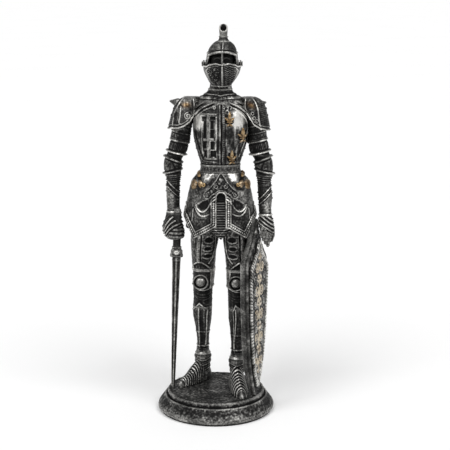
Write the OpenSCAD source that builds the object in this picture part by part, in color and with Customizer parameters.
// Standing knight in full plate armour on a round base, sword and shield grounded.
// Millimetres. The origin is the middle of the underside, +Z up, the knight faces -Y.
// "right" and "left" are the knight's own sides, so right parts lie towards -X.

/* [Base] */
// Widest diameter of the round base
base_d = 55; // [52:1:62]
// Height of the base, felt included
base_h = 9.5; // [8:0.5:12]
// Thickness of the felt pad under the base
felt_t = 0.8; // [0.5:0.1:1.5]

/* [Castings] */
// Thickness of the plates that wrap a core
plate_t = 1.2; // [0.8:0.1:1.6]
// Diameter of the pins that locate the castings
pin_d = 2.4; // [2:0.2:2.8]
// Corners round a limb or plate
ring_steps = 20; // [16:4:28]

/* [Visor] */
// Wall of the visor
visor_t = 0.7; // [0.5:0.1:0.8]
// Diameter of the visor's pivot pins
pivot_d = 1.6; // [1.2:0.1:2]

/* [Sword] */
// Diameter of the round grip
grip_d = 3.8; // [3.2:0.1:4]
// Radial clearance of the grip in the fist
grip_fit = 0.05; // [0.02:0.01:0.1]
// Depth of the socket that the blade's tip stands in
socket_h = 2; // [1:0.5:3]
// Width of the guard
guard_w = 6; // [5.5:0.5:7.5]

/* [Shield] */
// Width of the shield across its shoulders
shield_w = 30; // [28:1:32]
// Height of the shield from its foot to its point
shield_h = 83; // [79:0.5:86]
// Thickness of the shield's board
shield_t = 3.8; // [3:0.2:4]
// How proud the framed panel stands of the board
panel_t = 1.6; // [1:0.2:2]

/* [Hidden] */

$fn = 48;
big = 200;                 // size of the blocks that cut a shape by a plane
drawn_base_h = 9.5;        // base height that the heights below are drawn for
lift = base_h - drawn_base_h;
sole_z = drawn_base_h;
pewter = "dimgray";
silver = "silver";
gilt = "darkgoldenrod";

// Heights at which one casting ends and the next begins
ankle_z = 23.5;
knee_low_z = 47.5;
knee_top_z = 66.5;
hip_z = 87;
belt_low_z = 113.6;
belt_top_z = 116.1;
collar_z = 145;
helmet_z = 155.2;
elbow_top_z = 120.5;
elbow_low_z = 111.5;
wrist_z = 94;
shoulder_z = 141;

// Ovals of a body part from low to high:
// height, middle across, middle front to back, half width, half depth
right_leg = [
    [22.5, -6.4, 13.0, 3.3, 3.8], [25, -6.4, 12.6, 3.0, 3.4], [31, -6.2, 11.6, 2.8, 3.3],
    [36.5, -6.2, 10.6, 3.4, 4.0], [42.5, -6.5, 9.6, 4.5, 4.9], [47.5, -6.4, 8.8, 4.6, 4.9],
    [51, -6.2, 8.1, 4.4, 4.7], [55.3, -6.2, 7.5, 4.5, 4.8], [59, -6.0, 7.0, 4.8, 5.2],
    [65, -5.7, 6.1, 5.1, 5.5], [70, -5.7, 5.5, 5.5, 5.9], [75, -5.7, 4.7, 5.8, 6.3],
    [81, -5.2, 3.9, 6.5, 6.8], [88, -4.9, 3.4, 6.6, 7.2]];
left_leg = [
    [22.5, 10.1, 5.0, 3.3, 3.8], [25, 10.1, 5.0, 3.0, 3.4], [31, 10.0, 4.8, 2.8, 3.3],
    [36.5, 10.1, 4.6, 3.4, 4.0], [42.5, 10.5, 4.5, 4.5, 4.9], [47.5, 10.4, 4.3, 4.6, 4.9],
    [51, 10.2, 4.2, 4.4, 4.7], [55.3, 10.2, 4.1, 4.5, 4.8], [59, 10.1, 4.0, 4.8, 5.2],
    [65, 10.2, 3.9, 5.1, 5.5], [70, 10.2, 3.8, 5.5, 5.9], [75, 9.9, 3.6, 5.8, 6.3],
    [81, 9.7, 3.5, 6.4, 6.8], [88, 9.2, 3.4, 6.6, 7.2]];
skirt = [
    [81, 2.2, 3, 17.6, 12.6], [90.7, 2.1, 3, 17.1, 12.0], [97.4, 2.0, 3, 15.7, 11.0],
    [103, 2.0, 3, 14.7, 10.2], [109.4, 2.1, 3, 13.1, 9.2], [112, 2.1, 3, 10.6, 7.8],
    [113.6, 2.1, 3, 9.4, 7.0]];
torso = [
    [113.6, 2.1, 3, 9.2, 6.8], [116.1, 2.2, 3, 8.9, 6.6], [119.5, 2.2, 3, 9.8, 7.3],
    [123.5, 2.3, 3, 11.1, 8.2], [129, 2.5, 3, 12.6, 9.2], [134, 2.6, 3, 13.1, 9.5],
    [139, 2.6, 3, 12.6, 8.9], [143, 2.3, 3, 11.6, 7.8], [145, 2.2, 3, 10.9, 7.0]];
collar = [
    [145, 2.2, 3, 10.9, 7.0], [147.3, 2.1, 3, 9.8, 6.3], [148.6, 2.1, 3, 7.2, 5.7],
    [149.8, 2.1, 3, 5.5, 5.2], [150.8, 2.2, 3, 5.3, 5.2]];
neck_guard = [
    [150.8, 2.2, 3, 5.3, 5.2], [152.4, 2.4, 3, 4.9, 5.0], [155.2, 2.6, 3.4, 5.1, 5.2]];
skull_form = [
    [155.2, 2.6, 4.4, 5.6, 6.0], [157.5, 2.8, 4.0, 6.4, 7.6], [160.5, 2.9, 3.7, 7.0, 8.6],
    [163.5, 3.0, 3.5, 7.2, 9.0], [166.5, 3.1, 3.5, 7.0, 8.8], [169, 3.2, 3.5, 6.2, 7.5],
    [171, 3.4, 3.5, 4.9, 5.9], [172.3, 3.4, 3.5, 3.2, 3.9], [172.9, 3.4, 3.5, 1.6, 2.0]];
head_form = [
    [155.2, 2.7, 3.6, 3.9, 4.2], [157.5, 2.8, 2.9, 4.6, 5.6], [161, 2.9, 2.8, 5.2, 6.2],
    [165, 3.0, 3.2, 5.4, 6.6], [168, 3.2, 3.5, 4.6, 5.6], [169.8, 3.3, 3.5, 3.0, 3.6]];
visor_form = [
    [152.4, 2.6, 3.5, 4.8, 8.7], [153.8, 2.6, 3.5, 5.6, 9.9], [155.6, 2.8, 3.5, 6.6, 10.8],
    [157.4, 2.9, 3.5, 7.6, 11.4], [159.3, 2.9, 3.5, 8.3, 11.8], [161.5, 3.0, 3.5, 8.6, 11.9],
    [163.4, 3.0, 3.5, 8.6, 11.9]];
right_arm = [
    [93, -19.5, 3.1, 3.0, 3.0], [97.4, -19.6, 3.3, 2.9, 2.9], [102, -19.8, 3.6, 3.0, 3.1],
    [106, -19.7, 3.9, 3.1, 3.3], [109.5, -19.4, 4.1, 3.2, 3.6], [111.5, -19.7, 4.2, 4.0, 4.1],
    [114.5, -19.6, 4.2, 4.1, 4.2], [118.5, -19.3, 4.1, 4.2, 4.3], [120.5, -18.6, 3.9, 4.6, 4.6],
    [123.5, -17.4, 3.6, 4.5, 4.7], [127.2, -16.3, 3.3, 4.5, 4.9], [132.5, -15.6, 3, 4.5, 5.0],
    [137, -14.6, 3, 4.6, 4.9], [141, -13.8, 3, 4.3, 4.5]];
left_arm = [
    [93, 22.8, -4.8, 2.7, 2.8], [97.4, 22.6, -3.4, 2.8, 2.9], [102, 22.8, -1.6, 3.1, 3.1],
    [106, 22.4, 0.2, 3.1, 3.3], [109.5, 22.3, 1.8, 3.3, 3.6], [111.5, 22.5, 2.6, 4.1, 4.1],
    [114.5, 22.1, 3.4, 4.1, 4.2], [118.5, 21.6, 3.9, 4.2, 4.3], [120.5, 20.8, 3.9, 4.7, 4.6],
    [123.5, 20.0, 3.6, 4.6, 4.7], [127.2, 19.2, 3.3, 4.5, 4.9], [132.5, 19.0, 3, 4.2, 5.0],
    [137, 18.2, 3, 4.4, 4.9], [141, 17.8, 3, 4.3, 4.5]];
right_fist = [
    [82.3, -18.6, -1.5, 3.6, 3.5], [83.5, -18.8, -1.5, 4.4, 4.4], [85.7, -19.4, -1.2, 5.0, 4.9],
    [88.2, -19.8, -0.6, 4.8, 5.0], [91, -19.7, 0.7, 3.9, 4.3], [94, -19.5, 3.1, 3.3, 3.0]];
left_hand = [
    [77.4, 24.5, -8.6, 1.0, 2.4], [80.6, 24.6, -8.2, 2.0, 3.4], [84.8, 24.2, -7.6, 2.9, 4.2],
    [87.4, 23.6, -7.2, 3.4, 4.5], [90.7, 22.9, -6.3, 3.6, 4.2], [94, 22.8, -4.6, 2.7, 2.8]];
right_shoulder = [
    [132.8, -17.2, 3, 4.2, 5.4], [134.2, -16.6, 3, 5.0, 7.2], [137.8, -15.3, 3, 5.4, 8.2],
    [142.4, -13.9, 3, 5.2, 7.4], [145.4, -13.4, 3, 4.4, 5.8], [146.8, -13.4, 3, 3.0, 4.0]];
left_shoulder = [
    [132, 20.6, 3, 4.0, 5.4], [134.2, 20.0, 3, 4.8, 7.2], [137.8, 18.9, 3, 5.2, 8.2],
    [142.2, 17.9, 3, 5.2, 7.4], [145.2, 17.3, 3, 4.4, 5.8], [146.6, 17.2, 3, 3.0, 4.0]];

// Where the feet stand: heel, direction from straight ahead, length
right_foot = [[-3.6, 17.2], -37.7, 22.4];
left_foot = [[9.0, 9.5], 6.9, 26.6];
right_ankle = [-6.4, 13.2];
left_ankle = [9.8, 4.6];

// Arch in the front of the skirt
arch_x = 2.5;
arch_z = 102.6;
arch_r = 2.1;
fringe_z = 84;             // lower edge of the mail behind it

// Locating pins
neck_pin_z = [139, 161];
waist_pin_z = [107, 123];
shoulder_pin_z = 138;
shoulder_pin_y = 3;
body_x = 2.2;
body_y = 3;

// The visor turns about a line across the helmet
pivot_y = 3.5;
pivot_z = 162.2;
visor_x = 3;

// The plume holder's axis
plume_x = 3.6;
plume_y = 2;

// The sword's frame: the foot of its socket and the way its axis leans
sword_foot = [-20.4, -1.2, sole_z];
sword_lean = [0.4, 1.95, 0];
guard_low = 64;            // heights along the sword from the ground
guard_top = 69.3;
grip_top = 84.6;
pommel_r = 1.65;

// The shield's frame: its foot, its turn from facing ahead and its lean
shield_foot = [18.7, -11.5, sole_z];
shield_turn = [-5, -1.1, -18.5];
panel_lift = 4;            // how far the panel's foot stands above the shield's
border_t = 0.6;            // how far the border stands above the panel
panel_scale = 0.885;       // the panel's size against the shield's
border_scale = 0.76;       // the same for the inside of its border

// Half the shield's outline from the foot to the peak, for a shield 30 wide and 83 high
shield_half = [
    [0.8, 0], [5, 7], [9.3, 17], [12, 30], [14, 46], [15, 64], [8, 70], [3.5, 74.5],
    [1.4, 79], [0.3, 83]];

// Points of one oval, power 2 is an ellipse
function oval(s, steps) = [
    for (i = [0 : steps - 1])
        [s[1] + s[3] * cos(360 * i / steps), s[2] + s[4] * sin(360 * i / steps), s[0]]];

// The same ovals, drawn in by a wall
function inset(sections, wall) = [
    for (s = sections) [s[0], s[1], s[2], s[3] - wall, s[4] - wall]];

// A value on the smooth curve through four neighbours, t from 0 to 1
function spline(a, b, c, d, t) =
    b + (c - a) * t / 2
    + (a - b * 5 / 2 + c * 2 - d / 2) * t * t
    + (b * 3 / 2 - a / 2 - c * 3 / 2 + d / 2) * t * t * t;

// One more oval between each pair, on the smooth curve
function smooth(sections) = let (last = len(sections) - 1) [
    for (i = [0 : last - 1])
        each [
            sections[i],
            spline(sections[max(i - 1, 0)], sections[i], sections[i + 1],
                sections[min(i + 2, last)], 0.5)],
    sections[last]];

// The ovals between two heights, and the next one beyond each end
function span(sections, low, top) = let (last = len(sections) - 1) [
    for (i = [0 : last])
        if (sections[min(i + 1, last)][0] > low && sections[max(i - 1, 0)][0] < top) sections[i]];

// Closed skin through ovals stacked from low to high
module loft(sections, steps = ring_steps) {
    rings = len(sections);
    points = [for (s = sections) each oval(s, steps)];
    low_cap = [for (i = [0 : steps - 1]) i];
    top_cap = [for (i = [0 : steps - 1]) steps * rings - 1 - i];
    sides = [
        for (r = [0 : rings - 2], i = [0 : steps - 1])
            each [
                [r * steps + i, (r + 1) * steps + i, (r + 1) * steps + (i + 1) % steps],
                [r * steps + i, (r + 1) * steps + (i + 1) % steps, r * steps + (i + 1) % steps]]];
    polyhedron(concat(points), concat([low_cap, top_cap], sides));
}

// Keeps what lies between two heights
module between(low, top) {
    intersection() {
        children();
        translate([-big / 2, -big / 2, low]) cube([big, big, top - low]);
    }
}

// Keeps what lies in front of (or behind) a plane across the body
module in_front(y) {
    intersection() {
        children();
        translate([-big / 2, y - big, -big / 2]) cube([big, big, 2 * big]);
    }
}
module behind(y) {
    intersection() {
        children();
        translate([-big / 2, y, -big / 2]) cube([big, big, 2 * big]);
    }
}

// Raises a flat drawing of the front (x, z) into a bar that runs from y = near to far
module front_cut(near, far) {
    translate([0, far, 0]) rotate([90, 0, 0]) linear_extrude(far - near) children();
}

// Upright pin between two heights
module upright_pin(x, y, heights) {
    translate([x, y, heights[0]]) cylinder(d = pin_d, h = heights[1] - heights[0]);
}

module in_sword_frame() {
    translate(sword_foot) rotate(sword_lean) children();
}

module in_shield_frame() {
    translate(shield_foot) rotate(shield_turn) children();
}

// ---- base

module felt_pad() {
    color("black") cylinder(d = base_d - 2, h = felt_t, $fn = 96);
}

// Turned plinth with two beaded rims and a hollowed flank
module base_plinth() {
    rim_r = base_d / 2 - 5;
    step_z = base_h - 2.4;
    color(pewter) difference() {
        rotate_extrude($fn = 96) {
            polygon([
                [0, felt_t], [base_d / 2 - 0.6, felt_t], [base_d / 2, felt_t + 0.6],
                [base_d / 2, felt_t + 1.5], [base_d / 2 - 0.9, felt_t + 3],
                [base_d / 2 - 2.4, step_z - 0.9], [rim_r + 1.3, step_z],
                [rim_r + 0.2, step_z + 0.3], [rim_r, base_h], [0, base_h]]);
            translate([rim_r + 1.4, step_z - 0.1]) circle(r = 0.7, $fn = 24);
            translate([rim_r - 0.1, base_h - 0.7]) circle(r = 0.7, $fn = 24);
        }
        translate([0, 0, lift]) {
            foot_pins();
            in_sword_frame() translate([-1.3, -0.9, -socket_h]) cube([2.6, 1.8, big]);
        }
    }
}

module foot_pins() {
    upright_pin(right_ankle[0], right_ankle[1], [sole_z - 6, sole_z + 8]);
    upright_pin(left_ankle[0], left_ankle[1], [sole_z - 6, sole_z + 8]);
}

module ankle_pins() {
    color("gray") translate([0, 0, lift]) foot_pins();
}

// ---- legs

// Armoured shoe: ovals laid along the ground from heel to toe, cut by the ground
module shoe(foot) {
    reach = foot[2];
    form = [
        [0, 0, 0, 1.9, 4.5], [1.6, 0, 0, 2.8, 8.0], [4.5, 0, 0, 3.4, 11.0], [8, 0, 0, 3.7, 10.0],
        [12, 0, 0, 3.9, 7.6], [reach - 8, 0, 0, 3.7, 5.4], [reach - 4, 0, 0, 2.8, 4.1],
        [reach - 1.2, 0, 0, 1.5, 2.9], [reach, 0, 0, 0.6, 1.9]];
    intersection() {
        translate([foot[0][0], foot[0][1], sole_z]) rotate([90, 0, foot[1]]) loft(form);
        translate([-big / 2, -big / 2, sole_z]) cube(big);
    }
}

module sabaton(foot, leg) {
    first = leg[0];
    ankle = [
        [sole_z + 4, first[1], first[2], first[3] - 0.2, first[4] - 0.4],
        [ankle_z - 2.5, first[1], first[2], first[3] + 0.7, first[4] + 0.6],
        [ankle_z, first[1], first[2], first[3], first[4] - 0.2]];
    color(pewter) difference() {
        union() {
            shoe(foot);
            loft(ankle);
        }
        foot_pins();
    }
}

module right_sabaton() { translate([0, 0, lift]) sabaton(right_foot, right_leg); }
module left_sabaton() { translate([0, 0, lift]) sabaton(left_foot, left_leg); }

module limb(sections, low, top) {
    color(pewter) translate([0, 0, lift]) between(low, top) loft(span(smooth(sections), low, top));
}

module right_greave() { limb(right_leg, ankle_z, knee_low_z); }
module left_greave() { limb(left_leg, ankle_z, knee_low_z); }

// Round boss on the front of the knee, with a peg into the knee plate
module knee_boss(x, y, z) {
    translate([x, y, z]) rotate([90, 0, 0]) {
        cylinder(r = 3.1, h = 1, $fn = 32);
        cylinder(r = 2.2, h = 1.8, $fn = 32);
    }
    translate([x, y + 3, z]) rotate([90, 0, 0]) cylinder(d = 2, h = 3, $fn = 32);
}

module bosses() {
    knee_boss(-7.2, 1.5, 60.8);
    knee_boss(9.4, -1.4, 60.8);
}

module knee_bosses() { color(silver) translate([0, 0, lift]) bosses(); }

module poleyn(leg) {
    color(pewter) translate([0, 0, lift]) difference() {
        between(knee_low_z, knee_top_z) loft(span(smooth(leg), knee_low_z, knee_top_z));
        bosses();
    }
}

module right_poleyn() { poleyn(right_leg); }
module left_poleyn() { poleyn(left_leg); }
module right_cuisse() { limb(right_leg, knee_top_z, hip_z); }
module left_cuisse() { limb(left_leg, knee_top_z, hip_z); }

// ---- hips

module waist_pin() { color("gray") translate([0, 0, lift]) upright_pin(body_x, body_y, waist_pin_z); }

module hip_core() {
    color("black") translate([0, 0, lift]) difference() {
        between(hip_z, belt_low_z) loft(inset(skirt, plate_t));
        upright_pin(body_x, body_y, waist_pin_z);
    }
}

// Outline of the skirt's hem and of its front arch, drawn on the front (x, z)
module hem_outline() {
    polygon([
        [-20, 120], [-20, 95.5], [-14.8, 93], [-10.1, 83.2], [-0.4, 89], [2.5, 87.5],
        [6.2, 88.4], [14, 83.4], [18.8, 93], [24, 95.5], [24, 120]]);
}

module arch_outline() {
    translate([arch_x, arch_z]) circle(r = arch_r, $fn = 24);
    translate([arch_x - arch_r, 70]) square([2 * arch_r, arch_z - 70]);
}

module skirt_shell() {
    difference() {
        loft(skirt);
        loft(inset(skirt, plate_t));
    }
}

module tassets() {
    translate([0, 0, lift]) intersection() {
        in_front(body_y + 3) skirt_shell();
        difference() {
            front_cut(-60, 60) hem_outline();
            front_cut(-60, body_y) arch_outline();
        }
    }
}

module right_tasset() {
    color(pewter) intersection() {
        tassets();
        translate([2.4 - big, -big / 2, 0]) cube(big);
    }
}

// The shield's board lies in a shallow seat on the left plate
module left_tasset() {
    color(pewter) difference() {
        intersection() {
            tassets();
            translate([2.4, -big / 2, 0]) cube(big);
        }
        translate([0, 0, lift]) in_shield_frame() board_solid();
    }
}

module culet() {
    color(pewter) translate([0, 0, lift]) intersection() {
        behind(body_y + 3) skirt_shell();
        front_cut(-60, 60) hem_outline();
    }
}

// Mail that hangs in the front arch, a little behind the plates
module mail_fringe() {
    color("black") translate([0, 0, lift]) intersection() {
        in_front(body_y) difference() {
            loft(inset(skirt, 0.4));
            loft(inset(skirt, plate_t));
        }
        front_cut(-60, 60) arch_outline();
        translate([-big / 2, -big / 2, fringe_z]) cube([big, big, big]);
    }
}

// A flat drawing of the front, laid on a body's skin so that it stands proud by t
module laid_on(sections, t) {
    in_front(body_y - 2) intersection() {
        front_cut(-60, body_y) children();
        difference() {
            loft(inset(sections, -t));
            loft(sections);
        }
    }
}

module girdle_chevron() {
    color(silver) translate([0, 0, lift]) laid_on(span(skirt, 98, 113.6), 0.5) {
        polygon([
            [2.4, 113.2], [9.4, 105.6], [11.2, 104], [9.6, 102], [7.4, 103.2], [5.4, 106],
            [-0.5, 106], [-2.6, 103.2], [-4.8, 102], [-6.4, 104], [-4.6, 105.6]]);
    }
}

// Three-lobed flower
module trefoil(r) {
    for (a = [0, 120, 240])
        rotate(a + 90) translate([r * 0.55, 0]) circle(r = r * 0.5, $fn = 12);
    circle(r = r * 0.4, $fn = 12);
    translate([-r * 0.2, -r * 1.5]) square([r * 0.4, r * 1.5]);
}

module hip_ornaments() {
    color(gilt) translate([0, 0, lift]) laid_on(span(skirt, 103, 113), 0.5) {
        translate([-7.1, 109.2]) trefoil(2.4);
        translate([12.2, 108.8]) trefoil(2.4);
    }
}

module waist_belt() {
    color(silver) translate([0, 0, lift]) difference() {
        between(belt_low_z, belt_top_z) loft(inset(torso, -0.5));
        upright_pin(body_x, body_y, waist_pin_z);
    }
}

// ---- trunk

module pins_across_shoulders() {
    for (ends = [[-15, -4], [8, 19]])
        translate([ends[0], shoulder_pin_y, shoulder_pin_z]) rotate([0, 90, 0])
            cylinder(d = pin_d, h = ends[1] - ends[0]);
}

module shoulder_pins() { color("gray") translate([0, 0, lift]) pins_across_shoulders(); }

module torso_core() {
    color("black") translate([0, 0, lift]) difference() {
        between(belt_top_z, collar_z) loft(smooth(inset(torso, plate_t)));
        upright_pin(body_x, body_y, waist_pin_z);
        upright_pin(body_x, body_y, neck_pin_z);
        pins_across_shoulders();
    }
}

module torso_shell() {
    difference() {
        between(belt_top_z, collar_z) loft(smooth(torso));
        loft(smooth(inset(torso, plate_t)));
        pins_across_shoulders();
    }
}

module breastplate() { color(pewter) translate([0, 0, lift]) in_front(body_y) torso_shell(); }
module backplate() { color(pewter) translate([0, 0, lift]) behind(body_y) torso_shell(); }

// Grid of raised bars on the right half of the breast
module breast_bars() {
    color(silver) translate([0, 0, lift]) laid_on(span(smooth(torso), 119, 141), 0.5) {
        for (x = [-5.9, -2.9, 0]) translate([x, 120.5]) square([0.9, 19]);
        for (z = [119.6, 128.6, 138.8]) translate([-6.3, z]) square([7.6, 1.2]);
    }
}

module breast_ornaments() {
    color(gilt) translate([0, 0, lift]) laid_on(span(smooth(torso), 117, 142), 0.5) {
        translate([6.5, 139]) trefoil(2);
        translate([11.9, 131.6]) trefoil(2);
        translate([7.4, 120.8]) trefoil(1.8);
    }
}

module gorget() {
    color(pewter) translate([0, 0, lift]) difference() {
        loft(collar);
        upright_pin(body_x, body_y, neck_pin_z);
    }
}

module neck_pin() { color("gray") translate([0, 0, lift]) upright_pin(body_x, body_y, neck_pin_z); }

// ---- head

module bevor() {
    color(pewter) translate([0, 0, lift]) difference() {
        loft(neck_guard);
        upright_pin(body_x, body_y, neck_pin_z);
    }
}

// Plain head inside the helmet
module head_core() {
    color("dimgray") translate([0, 0, lift]) difference() {
        loft(smooth(head_form));
        upright_pin(body_x, body_y, neck_pin_z);
    }
}

// Opening for the face, seen from the side (y, z): a slanting cheek and a level brow
module face_opening() {
    translate([-big / 2, 0, 0]) rotate([90, 0, 90]) linear_extrude(big)
        polygon([[1.5, 100], [1.5, 159], [0.3, 163.5], [-0.4, 166.6], [-40, 166.6], [-40, 100]]);
}

// Line on which the visor's pivots lie, from x = low to x = high
module across_pivots(low, high, d) {
    translate([low, pivot_y, pivot_z]) rotate([0, 90, 0]) cylinder(d = d, h = high - low);
}

module helmet_skull() {
    color(pewter) translate([0, 0, lift]) {
        difference() {
            loft(smooth(skull_form));
            translate([0, 0, -0.9]) loft(smooth(inset(skull_form, 0.9)));
            between(0, helmet_z + 1) loft([[150, 2.6, 4.4, 4.7, 5.1], [157, 2.6, 4.4, 4.7, 5.1]]);
            face_opening();
            across_pivots(visor_x - 10, visor_x + 10, pivot_d);
            plume_peg();
        }
        translate([visor_x - 0.45, -5.2, 158.4]) cube([0.9, 0.9, 8.6]);
    }
}

// Peg of the plume holder in the crown
module plume_peg() {
    translate([plume_x, plume_y, 169]) cylinder(r = 1.2, h = 4);
}

// Short tube for a plume, standing on the crown
module plume_holder() {
    color(silver) translate([0, 0, lift]) difference() {
        union() {
            plume_peg();
            translate([plume_x, plume_y, 171.6]) cylinder(r1 = 2.6, r2 = 1.7, h = 2.8);
            translate([plume_x, plume_y, 174]) cylinder(r = 1.9, h = 6);
        }
        translate([plume_x, plume_y, 176]) cylinder(r = 1.1, h = 5);
        loft(smooth(skull_form));
    }
}

module visor_shell() {
    difference() {
        loft(smooth(visor_form));
        loft(smooth(inset(visor_form, visor_t)));
        translate([0, 0, -1]) between(100, 153.6) loft(smooth(inset(visor_form, visor_t)));
    }
}

// Side view (y, z) of the visor's plate
module visor_outline() {
    translate([-big / 2, 0, 0]) rotate([90, 0, 90]) linear_extrude(big)
        polygon([[pivot_y, 159.6], [2.2, 158], [-1.4, 152], [-40, 152], [-40, 163.2], [pivot_y, 163.2]]);
}

module visor() {
    ear_r = 2.3;
    color(silver) translate([0, 0, lift]) difference() {
        union() {
            intersection() {
                visor_shell();
                visor_outline();
            }
            across_pivots(visor_x - 8.75, visor_x - 7.9, 2 * ear_r);
            across_pivots(visor_x + 7.9, visor_x + 8.75, 2 * ear_r);
        }
        across_pivots(visor_x - 12, visor_x + 12, pivot_d + 0.1);
    }
}

module visor_pivots() {
    color("gray") translate([0, 0, lift]) for (side = [-1, 1])
        translate([visor_x, pivot_y, pivot_z]) rotate([0, 90 * side, 0]) {
            translate([0, 0, 5.6]) cylinder(d = pivot_d, h = 3.5, $fn = 32);
            translate([0, 0, 8.85]) cylinder(d1 = 2.6, d2 = 1.6, h = 0.5, $fn = 32);
        }
}

// ---- arms

module spikes() {
    for (s = [[-17.2, 144.6, -1], [19.4, 144, 1]])
        translate([s[0], 3, s[1]]) rotate([0, s[2] * 78, 0]) {
            translate([0, 0, -2]) cylinder(r = 1.2, h = 3.2, $fn = 32);
            translate([0, 0, 1.2]) cylinder(r1 = 1.9, r2 = 0.3, h = 2.6, $fn = 32);
        }
}

module pauldron_spikes() { color(silver) translate([0, 0, lift]) spikes(); }

// Shoulder cap: hollowed to lie on the trunk, the collar and the arm
module pauldron(form, arm) {
    cap_z = form[0][0];
    color(pewter) translate([0, 0, lift]) difference() {
        loft(smooth(form));
        loft(span(smooth(torso), cap_z, collar_z));
        loft(span(collar, collar_z, collar_z + 3));
        loft(span(smooth(arm), cap_z, shoulder_z));
        pins_across_shoulders();
        spikes();
    }
}

module right_pauldron() { pauldron(right_shoulder, right_arm); }
module left_pauldron() { pauldron(left_shoulder, left_arm); }

module rerebrace(arm) {
    color(pewter) translate([0, 0, lift]) difference() {
        between(elbow_top_z, shoulder_z) loft(span(smooth(arm), elbow_top_z, shoulder_z));
        loft(span(smooth(torso), elbow_top_z, collar_z));
        pins_across_shoulders();
    }
}

module right_rerebrace() { rerebrace(right_arm); }
module left_rerebrace() { rerebrace(left_arm); }
module right_couter() { limb(right_arm, elbow_low_z, elbow_top_z); }
module left_couter() { limb(left_arm, elbow_low_z, elbow_top_z); }
module right_vambrace() { limb(right_arm, wrist_z, elbow_low_z); }
module left_vambrace() { limb(left_arm, wrist_z, elbow_low_z); }

// Fist round the grip, bored on the sword's own axis
module right_gauntlet() {
    color(pewter) translate([0, 0, lift]) difference() {
        loft(right_fist);
        in_sword_frame() translate([0, 0, guard_top]) cylinder(d = grip_d + 2 * grip_fit, h = 40);
    }
}

// Hand on the shield's top edge
module left_gauntlet() {
    color(pewter) translate([0, 0, lift]) difference() {
        loft(left_hand);
        in_shield_frame() shield_solid();
    }
}

// ---- sword

module sword_blade() {
    half_w = 1.95;
    tip_w = 0.9;
    tang_r = 0.8;
    steel = [
        [-socket_h + 0.2, 0, 0, tip_w * 0.7, 0.5], [2, 0, 0, tip_w, 0.6],
        [guard_low, 0, 0, half_w, 0.9]];
    color(silver) translate([0, 0, lift]) in_sword_frame() {
        loft(steel, 4);
        translate([0, 0, guard_low - 0.01]) cylinder(r = tang_r, h = grip_top - guard_low, $fn = 24);
    }
}

module tang_hole() {
    translate([0, 0, guard_low - 10]) cylinder(r = 0.8, h = 40, $fn = 24);
}

module crossguard() {
    color(pewter) translate([0, 0, lift]) in_sword_frame() difference() {
        union() {
            translate([-guard_w / 2, -1.9, guard_low]) cube([guard_w, 3.8, guard_top - guard_low - 1]);
            translate([-guard_w / 2 + 0.8, -1.6, guard_top - 1.4]) cube([guard_w - 1.6, 3.2, 1.4]);
        }
        tang_hole();
    }
}

module sword_grip() {
    color("black") translate([0, 0, lift]) in_sword_frame() difference() {
        translate([0, 0, guard_top]) cylinder(d = grip_d, h = grip_top - guard_top);
        tang_hole();
    }
}

module sword_pommel() {
    color(pewter) translate([0, 0, lift]) in_sword_frame() intersection() {
        translate([0, 0, grip_top + pommel_r * 0.8]) sphere(r = pommel_r, $fn = 32);
        translate([-5, -5, grip_top]) cube(10);
    }
}

// ---- shield

// The shield's outline at a scale, its foot raised (across, height)
module shield_outline(k, raise) {
    wide = k * shield_w / 30;
    high = k * shield_h / 83;
    right_side = [for (p = shield_half) [p[0] * wide, raise + p[1] * high]];
    left_side = [for (i = [len(right_side) - 1 : -1 : 0]) [-right_side[i][0], right_side[i][1]]];
    polygon(concat(right_side, left_side));
}

// Stands a drawing (across, height) up in the shield's frame, between two depths
module upright(near, far) {
    translate([near, 0, 0]) rotate([90, 0, 90]) linear_extrude(far - near) children();
}

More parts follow.
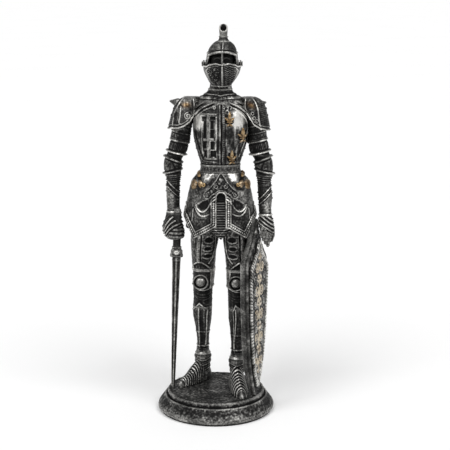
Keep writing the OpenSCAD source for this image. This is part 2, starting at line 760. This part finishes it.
// The board, its back bevelled off towards the foot
module board_solid() {
    bevel_h = 14;
    foot_t = 1.8;
    intersection() {
        upright(-shield_t, 0) shield_outline(1, 0);
        front_cut(-shield_w, shield_w) polygon([
            [-foot_t, -1], [0, -1], [0, shield_h + 1], [-shield_t, shield_h + 1],
            [-shield_t, bevel_h]]);
    }
}

module shield_solid() {
    board_solid();
    upright(0, panel_t) shield_outline(panel_scale, panel_lift);
}

module shield_board() {
    color(pewter) translate([0, 0, lift]) between(sole_z, big) in_shield_frame() board_solid();
}

module shield_panel() {
    color("dimgray") translate([0, 0, lift]) in_shield_frame()
        upright(0, panel_t - border_t) shield_outline(panel_scale, panel_lift);
}

// Inside of the border that runs round the panel
module border_inside() {
    shield_outline(border_scale, panel_lift + (panel_scale - border_scale) * shield_h * 0.5);
}

module shield_border() {
    color(silver) translate([0, 0, lift]) in_shield_frame() upright(panel_t - border_t, panel_t)
        difference() {
            shield_outline(panel_scale, panel_lift);
            border_inside();
        }
}

// Scrolls up the middle of the panel
module shield_ornament() {
    stem_h = 58;
    color(gilt) translate([0, 0, lift]) in_shield_frame() upright(panel_t - border_t, panel_t - 0.1)
        intersection() {
            border_inside();
            union() {
                translate([-0.5, 10.5]) square([1, stem_h]);
                for (z = [17 : 11 : 62]) for (side = [-1, 1])
                    translate([side * 3.4, z]) difference() {
                        circle(r = 3.6, $fn = 24);
                        circle(r = 2.2, $fn = 24);
                    }
            }
        }
}

felt_pad();
base_plinth();
ankle_pins();
right_sabaton();
left_sabaton();
right_greave();
left_greave();
right_poleyn();
left_poleyn();
knee_bosses();
right_cuisse();
left_cuisse();
hip_core();
right_tasset();
left_tasset();
culet();
mail_fringe();
girdle_chevron();
hip_ornaments();
waist_belt();
waist_pin();
torso_core();
breastplate();
backplate();
breast_bars();
breast_ornaments();
shoulder_pins();
gorget();
neck_pin();
bevor();
head_core();
helmet_skull();
plume_holder();
visor();
visor_pivots();
right_pauldron();
left_pauldron();
pauldron_spikes();
right_rerebrace();
left_rerebrace();
right_couter();
left_couter();
right_vambrace();
left_vambrace();
right_gauntlet();
left_gauntlet();
sword_blade();
crossguard();
sword_grip();
sword_pommel();
shield_board();
shield_panel();
shield_border();
shield_ornament();
